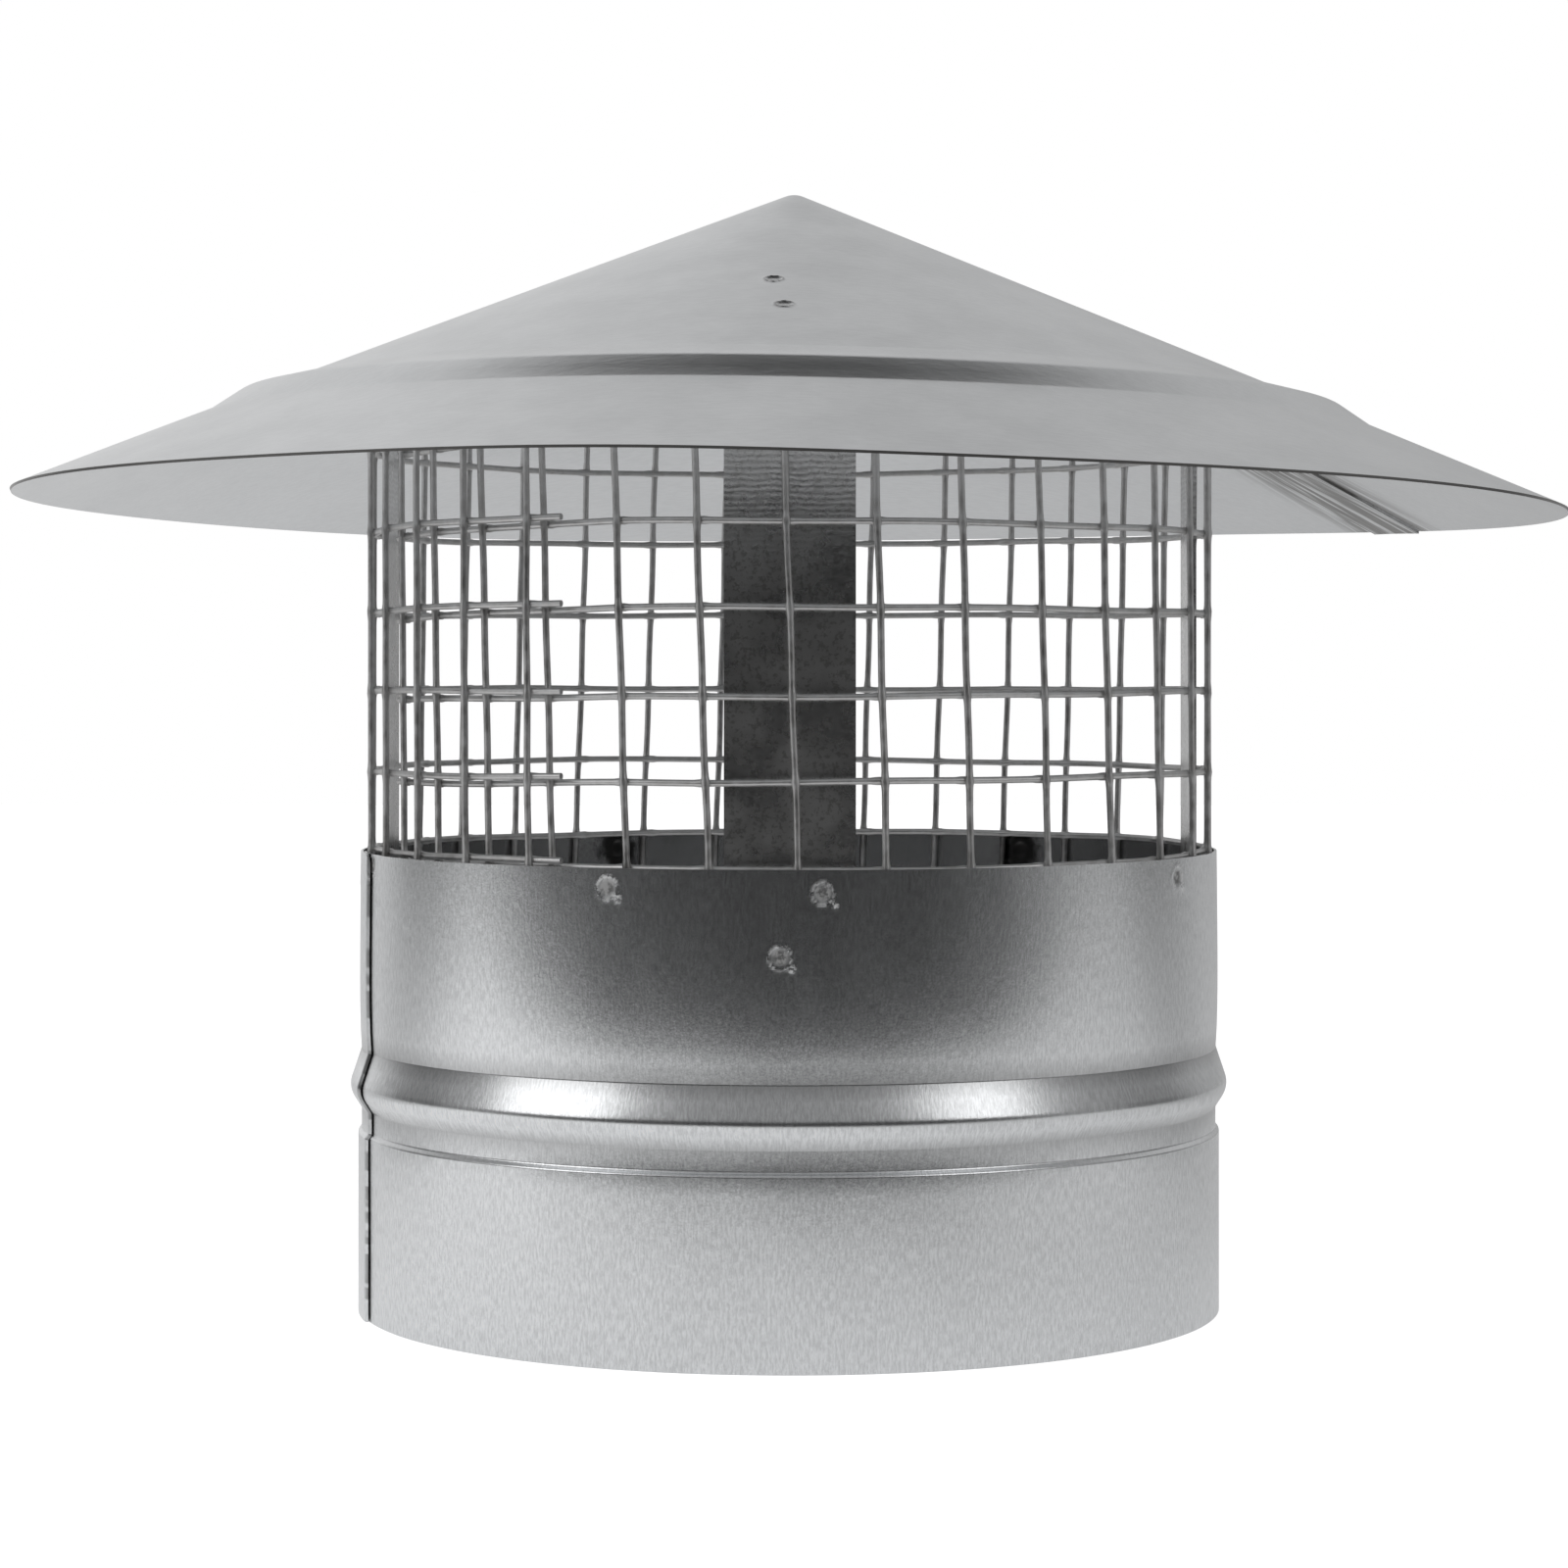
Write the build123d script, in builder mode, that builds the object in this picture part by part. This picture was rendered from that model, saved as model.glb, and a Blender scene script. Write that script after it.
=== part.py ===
from build123d import *
from math import ceil, cos, degrees, hypot, pi, radians, sin, sqrt, tan

# Galvanised chimney cap for a 200 mm flue: a rolled collar, four straps, a bird mesh and a conical hood.
# Millimetres, +Z up. The origin is the centre of the collar's lower rim and the front faces -Y.
# Azimuths are in degrees from the front and grow towards +X, the right-hand side.

# Sheet, and the gap between faces that are spot-welded together
SHEET = 0.6
WELD_GAP = 0.15

# Collar, from its lower rim upwards
FLUE_BORE = 200.0  # inside of the socket that slides over the flue pipe
SOCKET_DEPTH = 40.6
JOGGLE_RUN = 1.8
JOGGLE_STEP = 1.0  # the neck's radius is this much smaller than the socket's
LAND = 4.4  # plain band between the joggle and the bead
BEAD_WIDTH = 13.5
BEAD_CREST = 7.2  # from the bead's lower foot up to its crest
BEAD_RISE = 3.2  # crest of the bead's outline before it is rounded
BEAD_CROWN_RADIUS = 4.2
NECK = 46.1  # plain wall above the bead
SEAM_AZIMUTH = -75.0  # free edge of the collar's lap seam
SEAM_LAP = 14.0
SEAM_EASE = 45.0  # degrees over which the outer end climbs onto the inner one
SEAM_GAP = 0.05
SEAM_CORNER_RADIUS = 3.0

# Hood
HOOD_DIAMETER = 360.0
HOOD_SLOPE = 22.0
HOOD_LIFT = 81.1  # from the collar's upper rim to the hood's rim
HOOD_TILT_FRONT = 1.0  # degrees that the front is raised, as the hood sits on its straps
HOOD_TILT_RIGHT = 0.85  # degrees that the right side is lowered
NOSE_FLAT = 1.2
NOSE_RADIUS = 5.0
RING_RADIUS = 115.0  # inner foot of the stiffening ring
RING_RUN_IN = 13.0  # inner foot to crest
RING_RUN_OUT = 8.0  # crest to outer foot
RING_RISE = 2.0
HOOD_LAP_AZIMUTH = 120.0  # lap seam on the underside
HOOD_LAP_WIDTH = 18.0
HOOD_LAP_START = 25.0  # radius at which the seam leaves the nose

# Straps
STRAP_AZIMUTHS = {"front": 0.0, "right": 90.0, "back": 180.0, "left": 270.0}
STRAP_WIDTH = 28.0
STRAP_THICKNESS = 1.0
STRAP_BEND_RADIUS = 2.5
STRAP_MESH_GAP = 1.95  # between a strap's leg and the mesh outside it
TAB_DROP = 12.9  # from the collar's upper rim down to the top of the welded tab
TAB_LENGTH = 13.5
JOG_RISE = 6.5
FLANGE_RUN = 36.0
FLANGE_GAP = 0.3  # the flange is level across the tilted hood, so its seat needs more room

# Bird mesh
WIRE = 1.5
WELD_SINK = 0.2  # crossing wires melt this far into each other
MESH_GAP = 0.25  # between the uprights and the collar's neck
MESH_ROW_PITCH = 18.4
MESH_WIRE_PITCH = 19.15
MESH_EDGE_AZIMUTH = -35.2  # last upright of the outer layer at the overlap
MESH_LAP_CELLS = 3
MESH_OVERHANG = 8.0  # row ends beyond the last upright
MESH_TWIST = 2.0  # degrees that the uprights lean over the mesh's height
MESH_HEADROOM = 1.0
TUCK_CELLS = 2  # cells over which the inner layer steps in under the outer one
TUCK_GAP = 0.3
WIRE_SIDES = 6  # the round wire is drawn with six sides and keeps its section area

# Worked-out places
socket_radius = FLUE_BORE / 2
neck_radius = socket_radius - JOGGLE_STEP
joggle_top = SOCKET_DEPTH + JOGGLE_RUN
bead_foot = joggle_top + LAND
collar_top = bead_foot + BEAD_WIDTH + NECK

hood_radius = HOOD_DIAMETER / 2
hood_rim = collar_top + HOOD_LIFT
hood_rise = tan(radians(HOOD_SLOPE))
sheet_drop = SHEET / cos(radians(HOOD_SLOPE))  # thickness of the hood measured upright
lean_front = tan(radians(HOOD_TILT_FRONT))
lean_right = tan(radians(HOOD_TILT_RIGHT))
hood_frame = Plane((0, 0, hood_rim), x_dir=(1, 0, -lean_right), z_dir=(lean_right, lean_front, 1))
hood_axis = Axis(hood_frame.origin, hood_frame.z_dir)

wire_reach = WIRE / 2 * sqrt(2 * pi / (WIRE_SIDES * sin(2 * pi / WIRE_SIDES)))  # centre to corner
upright_radius = neck_radius - MESH_GAP - WIRE / 2
row_radius = upright_radius - WIRE + WELD_SINK
leg_radius = row_radius - WIRE / 2 - STRAP_MESH_GAP


def section(frame, azimuth):
    """Radial section of a frame: local x is the radius and local y the height along its axis."""
    outward = frame.x_dir * sin(radians(azimuth)) - frame.y_dir * cos(radians(azimuth))
    return Plane(frame.origin, x_dir=outward, z_dir=outward.cross(frame.z_dir))


def polar(radius, azimuth, height):
    """Point of the cap's own frame."""
    return Vector(radius * sin(radians(azimuth)), -radius * cos(radians(azimuth)), height)


def cone(radius):
    """Height of the hood's outer face over its rim, without the ring."""
    return (hood_radius - radius) * hood_rise


def underside(radius, lean):
    """Height of the hood's inner face where the tilted hood climbs outwards by lean."""
    level = cone(radius) - sheet_drop
    return hood_rim + level * (1 - lean * hood_rise) + radius * lean


# Collar: one sheet rolled round, its outer end climbing over its inner end at the seam
seam_lap = degrees(SEAM_LAP / socket_radius)
ease_start = SEAM_AZIMUTH - seam_lap - SEAM_EASE
ease_shift = (SHEET + SEAM_GAP) / (1 - cos(radians(SEAM_EASE)))
ease_axis = Axis(polar(-ease_shift, ease_start, 0), (0, 0, 1))

with BuildPart() as collar:
    with BuildSketch(section(Plane.XY, ease_start)) as collar_wall:
        with BuildLine():
            socket = Polyline(
                (socket_radius + SHEET, 0),
                (socket_radius + SHEET, SOCKET_DEPTH),
                (neck_radius + SHEET, joggle_top),
                (neck_radius + SHEET, bead_foot),
            )
            bead = FilletPolyline(
                socket @ 1,
                (neck_radius + SHEET + BEAD_RISE, bead_foot + BEAD_CREST),
                (neck_radius + SHEET, bead_foot + BEAD_WIDTH),
                radius=BEAD_CROWN_RADIUS,
            )
            Line(bead @ 1, (neck_radius + SHEET, collar_top))
            offset(amount=SHEET, kind=Kind.INTERSECTION, side=Side.LEFT)
        make_face()
    revolve(axis=Axis.Z.reverse(), revolution_arc=360 - SEAM_EASE)
    revolve(collar_wall.sketch, axis=ease_axis, revolution_arc=SEAM_EASE + seam_lap)
    sheet_ends = collar.edges().filter_by(GeomType.LINE).filter_by(lambda e: abs(e.length - SHEET) < SEAM_GAP)
    fillet(sheet_ends.group_by(Axis.Z)[-1], radius=SEAM_CORNER_RADIUS)
collar.part.label = "collar"
export_step(collar.part, "parts/collar.step")


# Hood: a cone with a raised stiffening ring, and a lap seam on its underside
ring_foot = (RING_RADIUS, cone(RING_RADIUS))
ring_crest = RING_RADIUS + RING_RUN_IN
ring_end = ring_crest + RING_RUN_OUT


def ring_line():
    """Outline of the hood's outer face from the ring's inner foot to the rim."""
    return Polyline(
        ring_foot,
        (ring_crest, cone(ring_crest) + RING_RISE),
        (ring_end, cone(ring_end)),
        (hood_radius, 0),
    )


lap_sweep = degrees(HOOD_LAP_WIDTH / HOOD_LAP_START)
with BuildPart() as hood_lap:
    with BuildSketch(section(hood_frame, HOOD_LAP_AZIMUTH - lap_sweep / 2)):
        with BuildLine():
            Line((HOOD_LAP_START, cone(HOOD_LAP_START)), ring_foot)
            ring_line()
            offset(amount=2 * SHEET, kind=Kind.INTERSECTION, side=Side.RIGHT)
        make_face()
    revolve(axis=hood_axis, revolution_arc=lap_sweep)
    with BuildSketch(hood_frame.rotated((0, 0, HOOD_LAP_AZIMUTH - 90))):
        Rectangle(hood_radius, HOOD_LAP_WIDTH, align=(Align.MIN, Align.CENTER))
    extrude(amount=hood_radius, both=True, mode=Mode.INTERSECT)

with BuildPart() as hood:
    with BuildSketch(section(hood_frame, HOOD_LAP_AZIMUTH + 180)):
        with BuildLine():
            nose_top = cone(NOSE_FLAT)
            FilletPolyline((0, nose_top), (NOSE_FLAT, nose_top), ring_foot, radius=NOSE_RADIUS)
            ring_line()
            offset(amount=SHEET, kind=Kind.INTERSECTION, side=Side.RIGHT)
        make_face()
    revolve(axis=hood_axis)
    add(hood_lap.part)
hood.part.label = "hood"
export_step(hood.part, "parts/hood.step")


# Straps: tab on the collar's neck, jog, upright leg, and a flange under the hood
def strap(name, azimuth):
    """One bent flat strap, whose long edges meet the round neck and the cone of the hood."""
    lean = lean_front * cos(radians(azimuth)) - lean_right * sin(radians(azimuth))
    flange_drop = FLANGE_GAP / cos(radians(HOOD_SLOPE))
    flange_end = leg_radius - FLANGE_RUN
    tab_radius = sqrt((neck_radius - WELD_GAP) ** 2 - (STRAP_WIDTH / 2) ** 2)
    tab_top = collar_top - TAB_DROP

    def under_hood(radius):
        return (radius, underside(hypot(radius, STRAP_WIDTH / 2), lean) - flange_drop)

    with BuildPart() as piece:
        with BuildSketch(section(Plane.XY, azimuth)):
            with BuildLine():
                FilletPolyline(
                    (tab_radius, tab_top - TAB_LENGTH),
                    (tab_radius, tab_top),
                    (leg_radius, tab_top + JOG_RISE),
                    under_hood(leg_radius),
                    under_hood(flange_end),
                    radius=STRAP_BEND_RADIUS,
                )
                offset(amount=STRAP_THICKNESS, side=Side.LEFT)
            make_face()
        extrude(amount=STRAP_WIDTH / 2, both=True)
    piece.part.label = f"strap_{name}"
    return piece.part


for strap_name, strap_azimuth in STRAP_AZIMUTHS.items():
    export_step(strap(strap_name, strap_azimuth), f"parts/strap_{strap_name}.step")


# Bird mesh: welded wire rolled into a ring, its inner end tucked in under its outer end
cell_angle = degrees(MESH_WIRE_PITCH / upright_radius)
overhang_cells = MESH_OVERHANG / MESH_WIRE_PITCH
turn_cells = 360 / cell_angle
upright_count = ceil(turn_cells) + MESH_LAP_CELLS
tuck_depth = 2 * WIRE - WELD_SINK + TUCK_GAP
tuck_full = round(turn_cells - overhang_cells) - 0.5
mesh_ceiling = underside(upright_radius, -hypot(lean_front, lean_right)) - MESH_HEADROOM
row_count = int((mesh_ceiling - collar_top) / MESH_ROW_PITCH + 0.5)
mesh_foot = collar_top - MESH_ROW_PITCH / 2
mesh_height = row_count * MESH_ROW_PITCH


def tuck(cell):
    """How far the mesh lies inside its outer layer, counted in cells from the outer end."""
    return tuck_depth * min(max((cell - tuck_full) / TUCK_CELLS + 1, 0), 1)


def row_point(cell, off_upright):
    """Corner of a row, off_upright cells away from the upright whose chord it ends."""
    reach = (row_radius - tuck(cell)) / cos(radians(off_upright * cell_angle))
    return polar(reach, MESH_EDGE_AZIMUTH - cell * cell_angle, collar_top)


def upright_frame(number):
    """Plane at an upright's foot, with its normal along the leaning wire."""
    radius = upright_radius - (tuck(number - 0.5) + tuck(number + 0.5)) / 2
    azimuth = MESH_EDGE_AZIMUTH - number * cell_angle
    foot = polar(radius, azimuth + MESH_TWIST / 2, mesh_foot)
    head = polar(radius, azimuth - MESH_TWIST / 2, mesh_foot + mesh_height)
    return Plane(foot, x_dir=polar(1, azimuth, 0), z_dir=head - foot)


with BuildPart() as mesh_row:
    with BuildLine() as row_path:
        Polyline(
            row_point(-overhang_cells, overhang_cells),
            *[row_point(number + 0.5, 0.5) for number in range(upright_count - 1)],
            row_point(upright_count - 1 + overhang_cells, overhang_cells),
        )
    with BuildSketch(Plane(row_path.line @ 0, x_dir=(0, 0, 1), z_dir=row_path.line % 0)):
        RegularPolygon(wire_reach, WIRE_SIDES, rotation=90)
    sweep(path=row_path.line, transition=Transition.RIGHT)

with BuildPart() as bird_mesh:
    with Locations(*[(0, 0, row * MESH_ROW_PITCH) for row in range(row_count)]):
        add(mesh_row.part)
    with BuildSketch(*[upright_frame(number) for number in range(upright_count)]):
        RegularPolygon(wire_reach, WIRE_SIDES)
    extrude(amount=mesh_height)
bird_mesh.part.label = "bird_mesh"
export_step(bird_mesh.part, "parts/bird_mesh.step")
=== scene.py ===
import random
from bisect import bisect
from math import atan2, cos, degrees, exp, hypot, pi, radians, sin, sqrt, tan

import bpy
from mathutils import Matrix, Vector


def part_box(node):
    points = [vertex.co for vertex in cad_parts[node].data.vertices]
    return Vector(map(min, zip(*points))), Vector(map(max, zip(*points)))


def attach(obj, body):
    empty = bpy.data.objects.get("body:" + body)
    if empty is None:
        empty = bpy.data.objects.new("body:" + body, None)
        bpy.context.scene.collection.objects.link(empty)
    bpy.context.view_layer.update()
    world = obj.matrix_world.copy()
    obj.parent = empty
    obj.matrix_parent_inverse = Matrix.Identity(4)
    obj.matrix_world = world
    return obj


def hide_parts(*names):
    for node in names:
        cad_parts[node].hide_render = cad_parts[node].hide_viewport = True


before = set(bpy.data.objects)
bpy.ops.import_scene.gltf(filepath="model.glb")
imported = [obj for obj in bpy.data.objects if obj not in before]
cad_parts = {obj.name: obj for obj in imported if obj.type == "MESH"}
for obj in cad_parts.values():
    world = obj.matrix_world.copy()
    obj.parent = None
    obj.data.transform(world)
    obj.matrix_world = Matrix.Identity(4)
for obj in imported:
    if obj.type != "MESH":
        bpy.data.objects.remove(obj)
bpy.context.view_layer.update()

# Looks of a galvanised chimney cap. The frame is in metres; the sizes below are in millimetres.
# Azimuths are in degrees from the front (-Y) and grow towards +X, the right-hand side.
MM = 0.001

# Sheet metal
SHEET = 0.6

# Collar, outer face
SOCKET_RADIUS = 100.5
SOCKET_DEPTH = 41.7
JOGGLE_TOP = 42.5
NECK_RADIUS = 99.7
BEAD_FOOT = 47.3
BEAD_CREST = 52.0
BEAD_TOP = 60.9
BEAD_RISE = 3.0
COLLAR_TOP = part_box("collar")[1][2] / MM
COLLAR_ROUNDING = [0.8, 0.8, 0.7, 5.0, 1.2]  # joggle's two folds, bead foot, crown, bead top
CREASE_SHADE_WIDTH = 0.45  # painted shade: a dark line in the folds at the bead's foot and top
SEAM_START = -83.0  # inner end of the rolled sheet, where it starts to climb, and its outer end
SEAM_EASE_START = 232.0
SEAM_EDGE = 286.5
SEAM_SHIFT = 2.22  # the climbing stretch turns about an axis that is shifted by this
SEAM_CORNER = 3.0
EDGE_THINNING = 0.9  # the sheet's cut ends are burred down by this share
EDGE_RUN = 1.2
WAIST_DEPTH = 0.7  # the rolled bead draws the neck in just above it
WAIST_REACH = 8.0
NECK_TAPER = 0.5  # the neck narrows this much towards its rim
CORNER_START = 100.0  # height from which the sheet's ends are rounded off
FINE_HEIGHT = 83.0  # the wall is divided finely above this, where its welds are
ROW_STEP = 4.0
FINE_ROW_STEP = 0.6
TURN_STEP = 1.2  # degrees between columns of points, with finer ones by the welds and the ends
FINE_TURN_STEP = 0.3
FINE_TURN_REACH = 2.7

# Hood
HOOD_RADIUS = 179.96
HOOD_RIM = 187.5
HOOD_SLOPE = tan(radians(22.0))
HOOD_LEAN_FRONT = tan(radians(1.0))
HOOD_LEAN_RIGHT = tan(radians(0.85))
NOSE_FLAT = 1.2
NOSE_START = 0.05  # radius of the skin's first ring of points
RING_FOOT = 115.0
RING_CREST = 128.0
RING_END = 136.0
RING_RISE = 2.15
HOOD_ROUNDING = [5.0, 4.0, 5.0, 4.0]  # nose, ring foot, crest, ring end
LAP_AZIMUTH = 120.0
LAP_HALF = 9.0
LAP_START = 25.0
SCUFF_HALF = 17.0  # the underside is scuffed this far to each side of the seam
LAP_DIVISION = 2.0
LAP_SETBACK = 0.3  # the lap ends this far inside the rim
LAP_BITE = 0.05  # its upper face lies this far inside the hood's sheet
RIM_EDGE = 0.12
RIM_BENDS = [  # azimuth, reach and rise
    (216, 35, -2.1),
    (270, 35, -1.2),
    (90, 35, -1.1),
    (143, 30, 1.3),
    (348, 20, 1.1),
]
NOSE_STEP = 6.0
WELDED_START = 58.0  # the cone is divided finely between these radii, where its welds are
WELDED_END = 90.0
WELDED_STEP = 0.5
RIM_STEP = 5.0
HOOD_FIRST_AZIMUTH = -45.0
HOOD_TURN_STEP = 1.5
HOOD_FINE_TURN_STEP = 0.35
HOOD_FINE_TURN_REACH = 3.5
UNROLL_RADIUS = 100.0  # radius at which the hood's sheet is unrolled for its UV places

# Straps
STRAP_AZIMUTHS = [0.0, 90.0, 180.0, 270.0]

# Bird mesh
WIRE_RADIUS = 0.75
UPRIGHT_RADIUS = 98.0
ROW_RADIUS = 96.7
CELL = 19.15
CELL_ANGLE = degrees(CELL / UPRIGHT_RADIUS)
UPRIGHT_COUNT = 36
MESH_EDGE_AZIMUTH = -35.2
MESH_FOOT = 97.2
MESH_HEAD = 207.6
ROW_PITCH = 18.4
ROW_COUNT = 6
ROW_OVERHANG = 8.0
MESH_TWIST = 2.0
TUCK_DEPTH = 3.1  # the inner end lies this far inside, fully from this cell on, eased over these cells
TUCK_FULL = 31.5
TUCK_CELLS = 2.0
OUTER_LIFT = 1.0  # at the overlap the outer rows stand this high, and the inner ones this low
INNER_DROP = 2.0
LIFT_CELLS = 5.0
WIRE_SIDES = 10
UPRIGHT_STEPS = 92
ROW_STEPS = 16  # per cell
CROSSING_BULGE = 0.3
CROSSING_REACH = 1.1
OUTER_UPRIGHTS = 5  # this many at the outer end lean by this share only
OUTER_TWIST = 0.25
MESH_SEED = 7
TWIST_SPREAD = 0.25  # unevenness: degrees on the uprights, millimetres on the rows
UPRIGHT_BOW = 0.22
UPRIGHT_KINK = 0.06
ROW_SAG = 0.35
ROW_RIPPLE = 0.12
ROW_SPRING = 0.1

# Spot welds: azimuth and height on the collar, azimuth and radius on the hood
TAB_WELDS = [(-1.2, 88.0), (4.0, 101.5)]
STRAP_WELDS = [(strap + turn, height) for strap in STRAP_AZIMUTHS for turn, height in TAB_WELDS]
MESH_WELD_HEIGHT = 102.3
MESH_WELDS = [(azimuth, MESH_WELD_HEIGHT) for azimuth in (206.4, -23.0, 60.0, 143.8)] + [(-71.8, 104.2)]
COLLAR_WELDS = STRAP_WELDS + MESH_WELDS
FLANGE_WELDS = [(-3.5, 68.4), (-1.2, 86.6)]
HOOD_WELDS = [(strap + turn, radius) for strap in STRAP_AZIMUTHS for turn, radius in FLANGE_WELDS]
WELD_RADIUS = 2.0
WELD_DEPTH = 0.1
HOOD_WELD_DEPTH = 0.24
HOOD_WELD_RADIUS = 1.75
SPATTER = (2.6, -2.4)  # splash beside a weld: along the wall and up it
SPATTER_RADIUS = 0.75
LIP_RISE = 0.9  # lip around a dimple: height, and place and width as shares of the weld's radius
LIP_PLACE = 1.15
LIP_WIDTH = 0.15
WELD_NEAR = 12.0  # degrees beyond which a weld leaves no mark
BURN_RADIUS = 6.5  # burnt zinc on the collar's inside, and on the wires in degrees and up them
WIRE_BURN_TURN = 4.0
WIRE_BURN_RISE = 6.0

# Faces that meet at more than SHARP_ANGLE show an edge, and arcs are divided by ARC_STEP, in degrees
SHARP_ANGLE = 38.0
ARC_STEP = 7.0

# Materials: a cool tint, depth and strengths of the bumps, and how far the collar blurs its images sideways
ZINC_TINT = -0.016
BUMP_DEPTH = 0.0002
HOOD_BUMP = 0.12
COLLAR_BUMP = 0.11
WIRE_BUMP = 0.15
STRAP_BUMP = 0.2
COLLAR_BLUR = 0.5

# Strain lines below a strap's upper bend: heights and pitch in metres, drift in radians
STRAIN_START = 0.168
STRAIN_FULL = 0.19
STRAIN_PITCH = 0.0013
STRAIN_DRIFT = 9.0

# Room, in metres. Glows are strengths of light, and FAINT keeps divisors off zero.
FLOOR_X = (-2.6, 2.6)
FLOOR_Y = (-0.9, 3.2)
FLOOR_DARK_Y = -0.63  # the floor fades to dark between these on its way to the camera
FLOOR_LIT_Y = -0.26
FLOOR_SEEN_GLOW = 0.86
FLOOR_MIRRORED_GLOW = 0.46
SIDE_GLOW = 0.25
FRONT_GLOW = 0.24
BACK_GLOW = 0.34
LEAST_GLOW = 0.035
FRONT_WAY = (-0.14, -0.99)
DIM_BEARING = 0.38  # sine of the angle behind the side walls at which walls and floor are dim
FAINT = 0.001
LAMP_TARGET = (0, 0, 0.1)
LAMPS = {  # place, size and power
    "left_softbox": ((-1.26, -0.62, 0.77), (0.9, 0.9), 3.7),
    "right_softbox": ((1.1, -0.87, 0.77), (0.7, 0.9), 2.3),
}
CAMERA_PLACE = (0.0, -0.973, 0.1518)
CAMERA_LENS = 95.2
CAMERA_SHIFT = (-0.00375, -0.0825)


def polar(radius, azimuth, height):
    """Point of the frame, in metres, from a place in millimetres and degrees."""
    return Vector((radius * sin(radians(azimuth)), -radius * cos(radians(azimuth)), height)) * MM


def rounded(corners, radii, step):
    """Points along a line through corners, each inner corner rounded, straights divided by step."""
    points = [Vector(corners[0])]

    def run_to(end):
        """Adds a straight to the end."""
        start = points[-1]
        count = max(1, round((end - start).length / step))
        points.extend(start.lerp(end, n / count) for n in range(1, count + 1))

    for before, corner, after, radius in zip(corners, corners[1:], corners[2:], radii):
        before, corner, after = Vector(before), Vector(corner), Vector(after)
        back, on = (before - corner).normalized(), (after - corner).normalized()
        turn = pi - back.angle(on)
        reach = radius * tan(turn / 2)
        start, end = corner + back * reach, corner + on * reach
        run_to(start)
        pieces = max(2, round(degrees(turn) / ARC_STEP))
        for n in range(1, pieces + 1):
            t = n / pieces
            points.append(start * (1 - t) ** 2 + corner * 2 * t * (1 - t) + end * t ** 2)
    run_to(Vector(corners[-1]))
    return points


def with_normals(points):
    """Each point of a section with the unit normal on the right-hand side of its run."""
    rows = []
    for n, point in enumerate(points):
        along = points[min(n + 1, len(points) - 1)] - points[max(n - 1, 0)]
        along.normalize()
        rows.append((point, Vector((along.y, -along.x))))
    return rows


def spaced(low, high, step, fine_step=0.0, centres=(), reach=0.0):
    """Values from low to high at step, closer together around the centres."""
    values = [low]
    while values[-1] < high - 1e-6:
        close = any(abs(values[-1] - centre) < reach for centre in centres)
        values.append(min(values[-1] + (fine_step if close else step), high))
    return values


def weld_field(distance, radius):
    """Depth of a spot weld's dimple, from 1 at its middle to a raised lip around it."""
    t = distance / radius
    return exp(-t ** 6) - LIP_RISE * exp(-((t - LIP_PLACE) / LIP_WIDTH) ** 2)


def new_object(name, vertices, faces, marks, uv):
    """Smooth mesh object with sharp folds, and with float marks and a UV place in metres per vertex."""
    mesh = bpy.data.meshes.new(name)
    mesh.from_pydata(vertices, [], faces)
    for mark, values in marks.items():
        mesh.attributes.new(mark, "FLOAT", "POINT").data.foreach_set("value", values)
    layer = mesh.uv_layers.new(name="sheet")
    corners = [0] * len(mesh.loops)
    mesh.loops.foreach_get("vertex_index", corners)
    layer.data.foreach_set("uv", [value for corner in corners for value in uv[corner]])
    mesh.polygons.foreach_set("use_smooth", [True] * len(mesh.polygons))
    mesh.set_sharp_from_angle(angle=radians(SHARP_ANGLE))
    mesh.update()
    obj = bpy.data.objects.new(name, mesh)
    bpy.context.collection.objects.link(obj)
    return obj


def skin_faces(columns, rows, closed):
    """Quads of a sheet with two faces: columns of rows outer points, then the same of inner points."""
    faces = []
    inner = columns * rows
    last = columns if closed else columns - 1
    for c in range(last):
        d = (c + 1) % columns
        for r in range(rows - 1):
            a, b, e, f = c * rows + r, d * rows + r, d * rows + r + 1, c * rows + r + 1
            faces.append((a, b, e, f))
            faces.append((inner + f, inner + e, inner + b, inner + a))
        for r, flip in ((0, False), (rows - 1, True)):
            edge = (c * rows + r, inner + c * rows + r, inner + d * rows + r, d * rows + r)
            faces.append(edge[::-1] if flip else edge)
    if not closed:
        for c, flip in ((0, False), (columns - 1, True)):
            for r in range(rows - 1):
                a, b = c * rows + r, c * rows + r + 1
                edge = (a, b, inner + b, inner + a)
                faces.append(edge[::-1] if flip else edge)
    return faces


def azimuth_gap(one, other):
    """Smallest angle between two azimuths, in degrees."""
    return abs((one - other + 180) % 360 - 180)


# Collar: one rolled sheet whose outer end climbs over its inner end
def collar_wave(azimuth, height):
    """Slight unevenness of the rolled sheet, in millimetres."""
    turn = radians(azimuth)
    slow = 0.07 * sin(5 * turn + 0.8) + 0.05 * sin(11 * turn + height / 31)
    return slow * min(1, height / 30) + 0.02 * sin(23 * turn + height / 14)


def draw_in(height):
    """How far the neck is drawn in above the bead and towards its rim, in millimetres."""
    if height < BEAD_TOP:
        return WAIST_DEPTH / 2
    over = height - BEAD_TOP
    return WAIST_DEPTH * (exp(-over / WAIST_REACH) - 0.5) + NECK_TAPER * over / (COLLAR_TOP - BEAD_TOP)


def collar_point(radius, azimuth, height):
    """Point of the rolled sheet, whose last stretch turns about a shifted axis."""
    if azimuth <= SEAM_EASE_START:
        return polar(radius, azimuth, height)
    return polar(-SEAM_SHIFT, SEAM_EASE_START, 0) + polar(radius + SEAM_SHIFT, azimuth, height)


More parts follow.
